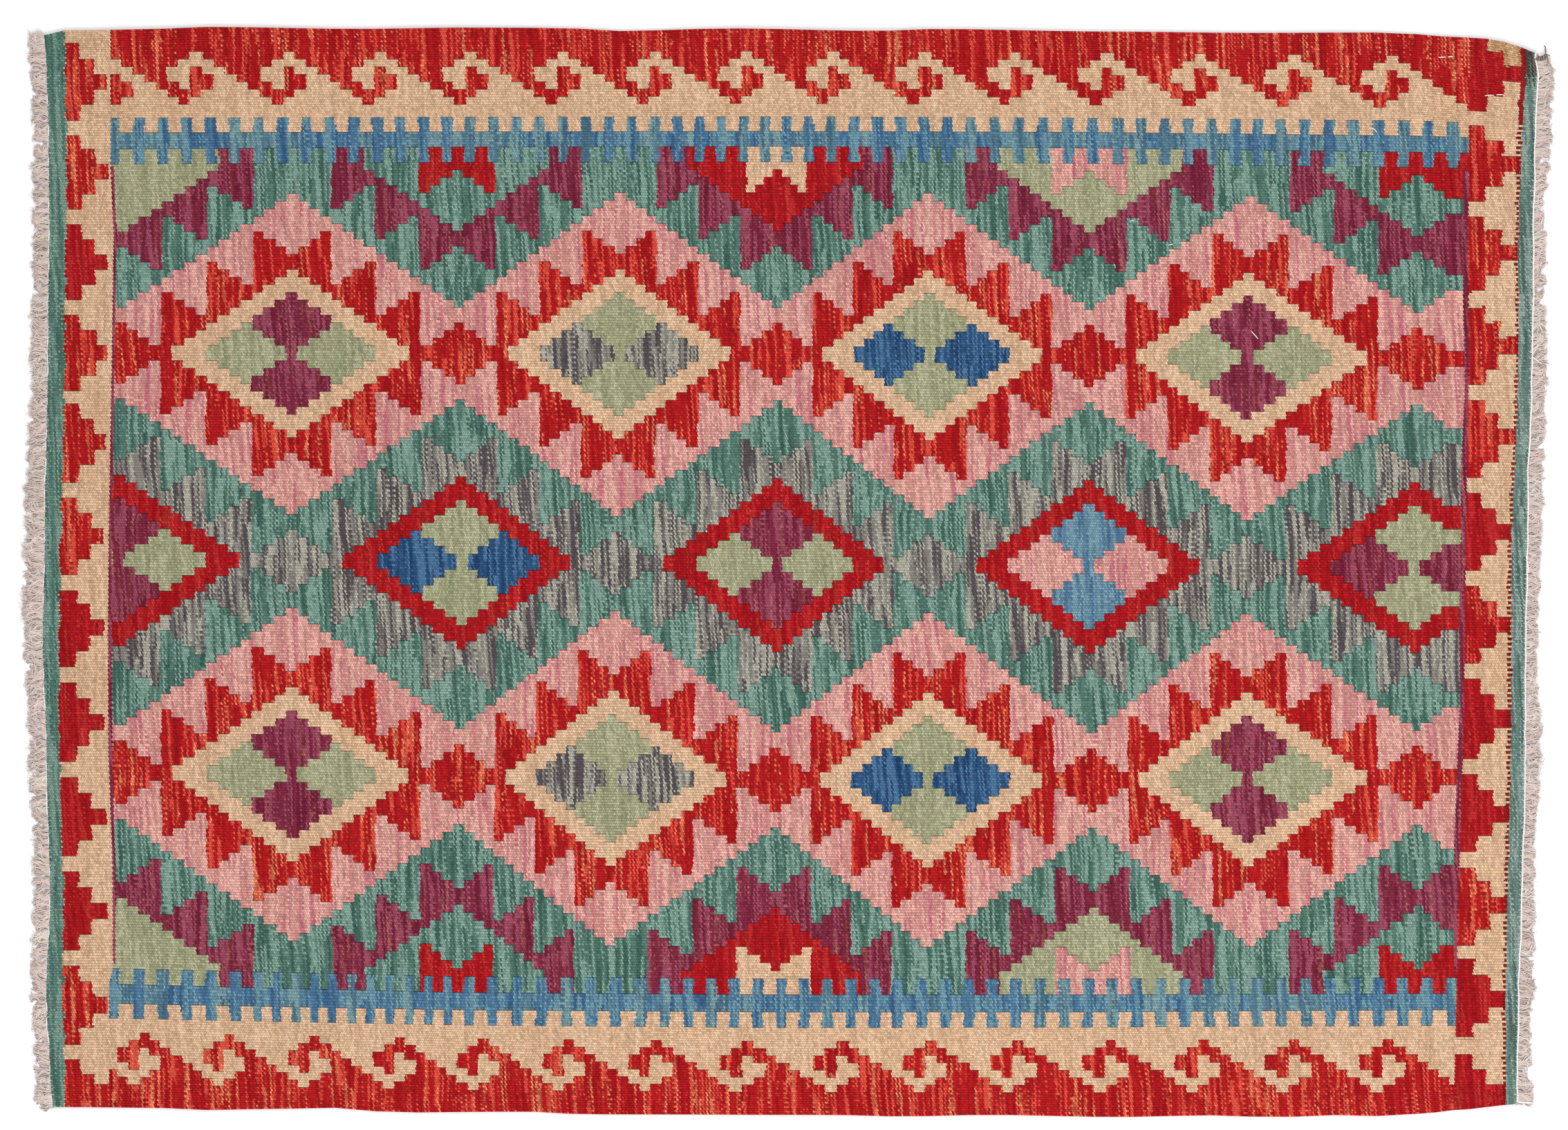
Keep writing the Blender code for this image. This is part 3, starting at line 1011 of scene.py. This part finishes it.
def field_wool(f, u, v):
    """Wool of the diamond field at column u and row v.

    A halo reaches 12 rows up from a diamond's middle, stepped in fours; a ring ends at 10
    steps; the four lozenges lie within 7. At a comb the second kind shows half: its first
    two rows repeat the third, its halo leaves out the columns past 11, and a figure stands
    on the comb. The upper middle figure is narrower than the others. Up to the right line,
    the field repeats its last whole column.
    """
    u = f.math("MINIMUM", u, LAST_COLUMN)
    first, p, q = diamond_place(f, u, v)
    middle = abs(v - MIDDLE_ROW) < DIAMOND_ROWS
    whole = first | middle
    q = f.choose(whole, q, f.math("MAXIMUM", q, 2.0))
    steps = p + q

    pairs = u / (DIAMOND_COLUMNS * 2)
    first_up, first_side = picked_numbers(f, floor(pairs), FIRST_LOZENGES)
    place = floor(pairs + 0.5)
    other_up, other_side = picked_numbers(f, place, MIDDLE_LOZENGES)
    body, figure = picked_numbers(f, place, END_DIAMONDS)

    wool = f.choose(first, NUMBER["pink"], NUMBER["teal"])
    halo = q - p + floor(p / 4.0) * 8.0 < 12.5
    outer_halo = f.choose(middle, NUMBER["grey"], NUMBER["purple"])
    far = (p > 11.5) * (1 - middle) * (1 - first)
    halo_wool = f.choose(first, NUMBER["red"], outer_halo)
    wool = f.choose(halo * (1 - far), halo_wool, wool)
    outer_ring = f.choose(middle, NUMBER["deep_red"], body)
    ring_wool = f.choose(first, NUMBER["cream"], outer_ring)
    wool = f.choose(steps < 10.5, ring_wool, wool)

    sideways = abs(p - 4.0) + q < 3.5
    up = f.choose(first, first_up, other_up)
    side = f.choose(first, first_side, other_side)
    wool = f.choose((steps < 7.5) * whole, f.choose(sideways, side, up), wool)
    narrow = (abs(u - 60.0) < 10.0) * (v < MIDDLE_ROW)
    inner = floor(f.math("PINGPONG", u, DIAMOND_COLUMNS) * (narrow * 0.2 + 1.0) + 0.5)
    standing = (inner < 3.5) * (q - inner < 2.5) * (1 - whole)
    return f.choose(standing, figure, wool)


def band_wool(f, v, hook, tooth, inside):
    """Wool of the comb and hook bands, laid over what is inside them.

    Rows are counted from the rug's middle, so both ends share the formulas. A comb is a
    band 2 rows wide with teeth 2 rows long on both sides, and each tooth and each stretch
    between two teeth is of a blue of its own. A running hook rises a step each column to
    the left, curls back over two columns on its left, and holds a red curl under its
    crest; below, red and cream change places. Before the first upper crest that red curl
    lies a row further in and is a column wider. Past a band's last crest nothing curls back.
    """
    away = abs(v - MIDDLE_ROW)
    wool = f.choose(away > COMB_MIDDLE - 1, NUMBER["cream"], inside)
    from_comb = abs(away - COMB_MIDDLE)
    on_tooth = abs(f.math("FRACT", tooth + 0.5) - 0.5) < 0.227
    in_comb = (from_comb < 1.0) | on_tooth * (from_comb < 3.0)
    stretch = f.chance(floor(tooth * 2.0 + 0.5), v > MIDDLE_ROW)
    blue = f.choose(stretch > 0.62, NUMBER["comb_teal"], NUMBER["comb_blue"])
    wool = f.choose(in_comb, blue, wool)

    lower = v > MIDDLE_ROW
    row = floor(v) + 1.0 - lower * (MIDDLE_ROW + HOOKS_START)
    column = floor((hook + 0.5) % HOOK_PERIOD)
    before = (hook < -0.5) * (1 - lower)
    last_crest = HOOK_PERIOD * (len(TOP_HOOKS) - 1.0) + lower * HOOK_PERIOD
    stairs = row - column > 0.5
    curl = (abs(row - 3.5) + 5.25 - column < 0.0) * (hook < last_crest)
    under = abs(row - 4.5 - before) + column - 1.75 - before < 0.0
    shape = (stairs | curl) * (1 - under)
    cream = abs(lower - shape)
    in_hooks = (away > HOOKS_START) * (away < MIDDLE_ROW)
    wool = f.choose(in_hooks, cream * NUMBER["cream"], wool)
    return f.choose(away > MIDDLE_ROW, NUMBER["red"], wool)


def border_wool(f, u, v, border, inside):
    """Wool of the side borders, their lines and the teal end bands, laid over the inside.

    A border's half diamonds are 3 columns of red: each column ends 2 rows before the one
    to its left, and in the right border the third goes on up to the end band. Dots on every
    other rib line both end bands: red ones at the right, which join up in the first rows,
    and thin green ones at the left. At the upper right corner the cream turns tan and the
    band dark green.
    """
    right = u > 60.0
    column = floor(u - BORDER_LEFT - right * (BORDER_RIGHT - BORDER_LEFT))
    column = f.math("MINIMUM", column, 3.0 - right)
    red = f.math("PINGPONG", border, BORDER_PERIOD / 2) + column * 2.0 < 5.0
    red = red | (v > LAST_ROW)
    dye = f.chance(floor(border / BORDER_PERIOD + 0.5), right) > 0.5
    red_wool = f.choose(dye, NUMBER["red"], NUMBER["deep_red"])
    corner = right * (v < TAN_END)
    cream_wool = f.choose(corner, NUMBER["tan"], NUMBER["cream"])
    half_diamonds = f.choose(red, red_wool, cream_wool)
    in_border = (u < FIELD_LEFT) | (u > BORDER_RIGHT)
    wool = f.choose(in_border, half_diamonds, inside)

    left_line = (u < FIELD_LEFT + 0.27) * (u > FIELD_LEFT)
    right_line = (u > FIELD_RIGHT) * (u < BORDER_RIGHT)
    line = (left_line | right_line) * (abs(v - LINE_MIDDLE) < LINE_REACH)
    wool = f.choose(line, NUMBER["purple"], wool)

    other_rib = f.math("FRACT", v * RIBS_A_ROW / 2) < 0.5
    dots = (other_rib | (v < DOT_LINE_END)) * (u > LINE_RIGHT - 0.04)
    wool = f.choose(dots, NUMBER["dot_red"], wool)
    ticks = (abs(u - BORDER_LEFT) < 0.05) * other_rib
    ragged = f.chance(floor(u * 6.0), floor(v * RIBS_A_ROW)) * 2.5
    dark = right * (v + ragged < DARK_END)
    end_wool = f.choose(right, NUMBER["pale_teal"], NUMBER["end_teal"])
    end_wool = f.choose(dark, NUMBER["dark_green"], end_wool)
    end_band = (u < BORDER_LEFT) | (u > BAND_RIGHT)
    wool = f.choose(end_band, end_wool, wool)
    return f.choose(ticks, NUMBER["green"], wool)


def rug_wool(f, u, v, border, hook, tooth):
    """Number of the wool at a place in the rug, laid from the field outwards."""
    wool = field_wool(f, u, v)
    wool = band_wool(f, v, hook, tooth, wool)
    return border_wool(f, u, v, border, wool)


def woven_place(f):
    """Which rib and which bead of weft a point lies on, and its place across both.

    Beads stand half a bead further on with each rib, as a weft passes over every other
    warp, and slant a little across the rib.
    """
    u, v, border = f.parts(f.attribute("field"))
    hook, tooth, _ = f.parts(f.attribute("bands"))
    x, y, _ = f.parts(f.node("TexCoord", output="Object"))
    ribs = v * RIBS_A_ROW
    rib = floor(ribs)
    across = ribs - rib
    wander = f.noise(x * 9.0, y * 17.0) * (WANDER * MM) + y * WEFT_LEAN
    beads = (x + wander) / (BEAD * MM) - rib * 0.5 - across * BEAD_LEAN
    bead = floor(beads)
    along = beads - bead
    return u, v, border, hook, tooth, x, y, rib, across, bead, along


def streaked(f, wool, y, rib, bead, speck):
    """The wool's colour, with lighter, darker and pale yarns in streaks along the wefts.

    Each weft shows on every other rib and keeps its shade for a way along its length, and a
    yarn that goes up one weft comes back down the next. A streak shows where a broad swell
    and the yarn's own chance add up high enough.
    """
    plain, light, dark = [
        f.pick(wool, [srgb(*dye[k]) for dye in WOOLS.values()]) for k in range(3)
    ]
    amounts = f.pick(wool, [(*dye[3:6], 1) for dye in WOOLS.values()])
    light_amount, dark_amount, glint_amount = f.parts(amounts)
    weft = bead * 2.0 + rib
    pair = floor(weft / 2.0)

    def zones(width, length, start):
        """Swells many wefts wide and long, of their own in each wool."""
        return f.noise(weft * width + start, y * length + wool * 5.1)

    def threads(yarn, length, start):
        """A chance for each yarn by itself, held for a stretch of its way."""
        stretch = floor(y * length + f.chance(yarn, start) * 9.0 + wool * 7.0)
        return f.chance(yarn + start, stretch)

    single = threads(weft, 19.0, 900.0)
    lighter = zones(0.12, 10.0, 0.0) * 0.7 + threads(pair, 21.0, 300.0) * 0.42
    lighter = lighter + single * 0.17 + 0.115 + light_amount * 0.5 + speck * 0.06
    darker = zones(0.15, 9.0, 90.0) * 0.7 + threads(pair, 17.0, 500.0) * 0.38
    darker = darker + (1 - single) * 0.15 + 0.115 + dark_amount * 0.5 + speck * 0.06
    glints = zones(0.2, 9.0, 210.0) + threads(pair, 20.0, 700.0) * 0.8 + speck * 0.1
    colour = f.blend(f.smooth(darker, 0.88, 1.02) * STREAK_STRENGTH, plain, dark)
    colour = f.blend(f.smooth(lighter, 0.9, 1.04) * STREAK_STRENGTH, colour, light)
    glint = f.smooth(glints, 1.27, 1.38) * (0.5 + speck * 0.6) * glint_amount
    return f.blend(glint, colour, PALE_GLINT)


def bead_light_and_shade(f, x, y, across, along, speck, fibres):
    """Painted highlight in a bead's middle and painted shade round it, uneven by chance."""
    off_middle = abs(across * 2.0 - 1) ** 2.0 * 0.65 + abs(along * 2.0 - 1) ** 2.0 * 0.75
    drift = f.noise(x * 6.0, y * 6.0, 2.0)
    # painted highlight in the middle of the bead, painted shade towards its edges
    shade_and_tone = 1.12 - f.smooth(off_middle, 0.1, 1.2) * 0.62
    return shade_and_tone * (0.53 + speck * 0.44 + drift * 0.08 + fibres * 0.3)


def make_wool():
    """Dyed wool: pattern colours streaked along wefts, painted shade on beads and slits.

    A bead keeps mostly to one colour, so upright edges are serrated. A step of the pattern
    strays a little sideways, but not beside the thin lines. Slits open in the valleys
    where the rib beyond has another colour, and painted shadow darkens the colour in them.
    """
    f = Finish("cloth_wool", Specular_IOR_Level=0.1, Sheen_Weight=0.02, Sheen_Roughness=0.5)
    u, v, border, hook, tooth, x, y, rib, across, bead, along = woven_place(f)

    calm = (abs(u + 0.5) < 0.5) + (abs(u - 124.5) < 0.5)
    sway = (f.chance(floor(u), floor(v)) - 0.5) * (1 - calm)
    shift = (0.5 - along) * (BEAD / COLUMN * SERRATION) + sway * STEP_SWAY
    u = u + shift
    hook = hook + shift
    tooth = tooth + shift * 0.5
    row = (rib + 0.5) / RIBS_A_ROW
    border = border + (0.5 - across) / RIBS_A_ROW
    wool = rug_wool(f, u, row, border, hook, tooth)

    beyond = ((across > 0.5) * 2.0 - 1.0) / RIBS_A_ROW
    neighbour = rug_wool(f, u, row + beyond, border + beyond, hook, tooth)
    # painted shadow in the slits: the valley darkens where the next rib has another colour
    in_valley = f.smooth(abs(across - 0.5), 0.22, 0.46)
    slit_shadow = (abs(wool - neighbour) > 0.5) * in_valley

    speck = f.chance(bead, rib)
    fibres = f.noise(x * 2600.0 + y * 700.0, y * 600.0, 2.0)
    # painted shade round the beads and painted shadow in the slits, multiplied into the colour
    shade_and_tone = bead_light_and_shade(f, x, y, across, along, speck, fibres) * (1 - slit_shadow * SLIT_SHADE)
    colour = f.blend(1.0, streaked(f, wool, y, rib, bead, speck), shade_and_tone, "MULTIPLY")

    crest = f.math("SINE", across * np.pi) ** 0.7
    bulge = f.math("SINE", along * np.pi) ** 0.7
    relief = (bulge * 0.6 + 0.4) * crest + fibres * 0.12
    bump = f.bump(relief, BEAD_RELIEF)
    return f.done(Base_Color=colour, Roughness=0.98 - crest * 0.12, Normal=bump)


def make_fringe_yarn():
    """Undyed warp yarn: strands of many shades in rosy zones, painted shade down a lock's sides.
    """
    f = Finish("fringe_yarn", Specular_IOR_Level=0.1, Sheen_Weight=0.05, Sheen_Roughness=0.5)
    tint, way, depth = f.parts(f.attribute("yarn"))
    x, y, _ = f.parts(f.node("TexCoord", output="Object"))
    fibres = f.noise(x * 900.0, y * 2500.0, 2.0)
    rosy = f.smooth(f.noise(x * 20.0, y * 45.0, 2.0), 0.4, 0.65)
    colour = f.blend(tint, srgb(200, 182, 172), srgb(238, 226, 216))
    colour = f.blend(rosy * 0.6, colour, srgb(226, 204, 200))
    # painted shade darkens a lock's sides and the strands under it; the yarn also darkens a little
    # towards its root
    shade_and_tone = (0.86 + way * 0.1 + fibres * 0.16) * (1 - f.smooth(depth, 0.35, 1.0) * 0.3)
    colour = f.blend(1.0, colour, shade_and_tone, "MULTIPLY")
    bump = f.bump(fibres, FIBRE_RELIEF, 0.6)
    return f.done(Base_Color=colour, Roughness=0.98 - fibres * 0.15, Normal=bump)


def make_spun_yarn(name, pale, deep):
    """Spun thread of two shades: its plies mixed by tint, with fine fibres across them."""
    f = Finish(name, Specular_IOR_Level=0.25, Sheen_Weight=0.1, Sheen_Roughness=0.5)
    tint, _, _ = f.parts(f.attribute("yarn"))
    x, y, _ = f.parts(f.node("TexCoord", output="Object"))
    fibres = f.noise(x * 2200.0 + y * 900.0, y * 1500.0, 2.0)
    mix = f.smooth(fibres + tint * 0.4, 0.3, 0.9)
    bump = f.bump(fibres, FIBRE_RELIEF, 0.6)
    return f.done(
        Base_Color=f.blend(mix, deep, pale), Roughness=0.95 - fibres * 0.15, Normal=bump
    )


# ---------------------------------------------------------------- stage, camera and light

FRAME_WIDTH = 1496.9            # what the picture's width shows at the rug
FRAME_MIDDLE = (-4.6, 6.8)
LENS = 120.0
SENSOR = 36.0
FLOOR_REACH = 20000.0           # from the middle to each side of the floor
WORLD_STRENGTH = 0.61
# The lamps: name, place and size in metres, power in watts.
LAMPS = (
    ("key", (0.7, -2.6, 2.6), 1.6, 85),
    ("fill", (0.6, 2.6, 3.0), 2.0, 64),
)


def make_floor():
    """A pale matt floor that reaches far past the picture."""
    f = Finish("floor_paint", Roughness=0.9, Specular_IOR_Level=0.1)
    x, y, _ = f.parts(f.node("TexCoord", output="Object"))
    mottle = f.noise(x * 6.0, y * 6.0, 3.0)
    material = f.done(Base_Color=f.blend(mottle, srgb(249, 249, 250), srgb(246, 246, 247)))
    corners = np.array([(-1, -1, 0), (1, -1, 0), (1, 1, 0), (-1, 1, 0)]) * FLOOR_REACH
    floor = make_mesh("floor", corners, [(0, 1, 2, 3)], material, smooth=False)


def make_camera():
    """A camera straight above the rug, far off behind a long lens."""
    lens = bpy.data.cameras.new("camera")
    lens.lens = LENS
    lens.sensor_width = SENSOR
    lens.sensor_fit = "HORIZONTAL"
    lens.clip_end = 50
    camera = bpy.data.objects.new("camera", lens)
    height = CLOTH_THICKNESS + FRAME_WIDTH * LENS / SENSOR
    camera.location = (FRAME_MIDDLE[0] * MM, FRAME_MIDDLE[1] * MM, height * MM)
    bpy.context.scene.collection.objects.link(camera)
    bpy.context.scene.camera = camera


def make_light(name, place, size, power):
    """A soft square lamp that faces the middle of the rug."""
    lamp = bpy.data.lights.new(name, "AREA")
    lamp.shape = "SQUARE"
    lamp.size = size
    lamp.energy = power
    light = bpy.data.objects.new(name, lamp)
    light.location = place
    x, y, z = place
    light.rotation_euler = (np.arctan2(np.hypot(x, y), z), 0, np.arctan2(y, x) + np.pi / 2)
    bpy.context.scene.collection.objects.link(light)


def make_surroundings():
    """Even white light from all round, and the display's plain colours."""
    world = bpy.data.worlds.new("studio")
    world.use_nodes = True
    background = world.node_tree.nodes["Background"]
    background.inputs["Color"].default_value = (1, 1, 1, 1)
    background.inputs["Strength"].default_value = WORLD_STRENGTH
    bpy.context.scene.world = world
    bpy.context.scene.view_settings.view_transform = "Standard"


make_camera()
make_surroundings()
for lamp in LAMPS:
    make_light(*lamp)
make_floor()

cloth = make_cloth(make_wool())
fringe_yarn = make_fringe_yarn()
white_thread = make_spun_yarn("white_thread", srgb(250, 249, 246), srgb(222, 219, 215))
dark_wool = make_spun_yarn("dark_wool", srgb(150, 132, 118), srgb(62, 52, 48))
left_fringe = make_fringe(
    "loose_warps_left", -1, left_x, LEFT_REACHES, fringe_yarn, LEFT_FRINGE_SEED
)
right_fringe = make_fringe(
    "loose_warps_right", 1, right_x, RIGHT_REACHES, fringe_yarn, RIGHT_FRINGE_SEED
)
threads = [
    make_left_thread(white_thread),
    make_right_thread(white_thread),
    make_stitches(white_thread),
    make_short_yarns("thread_tails", THREAD_TAILS, TAIL_RADIUS, 12, white_thread),
    make_short_yarns("lint", LINT, LINT_RADIUS, 9, white_thread),
]
weft_ends = [
    make_weft_coil(dark_wool),
    make_short_yarns("dark_weft_ends", DARK_ENDS, DARK_END_RADIUS, 12, dark_wool),
]

for piece in (cloth, *weft_ends):
    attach(piece, "root")
for piece in (left_fringe, right_fringe, *threads):
    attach(piece, "root")
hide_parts("kilim_cloth")
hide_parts("fringe_left")
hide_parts("fringe_right")
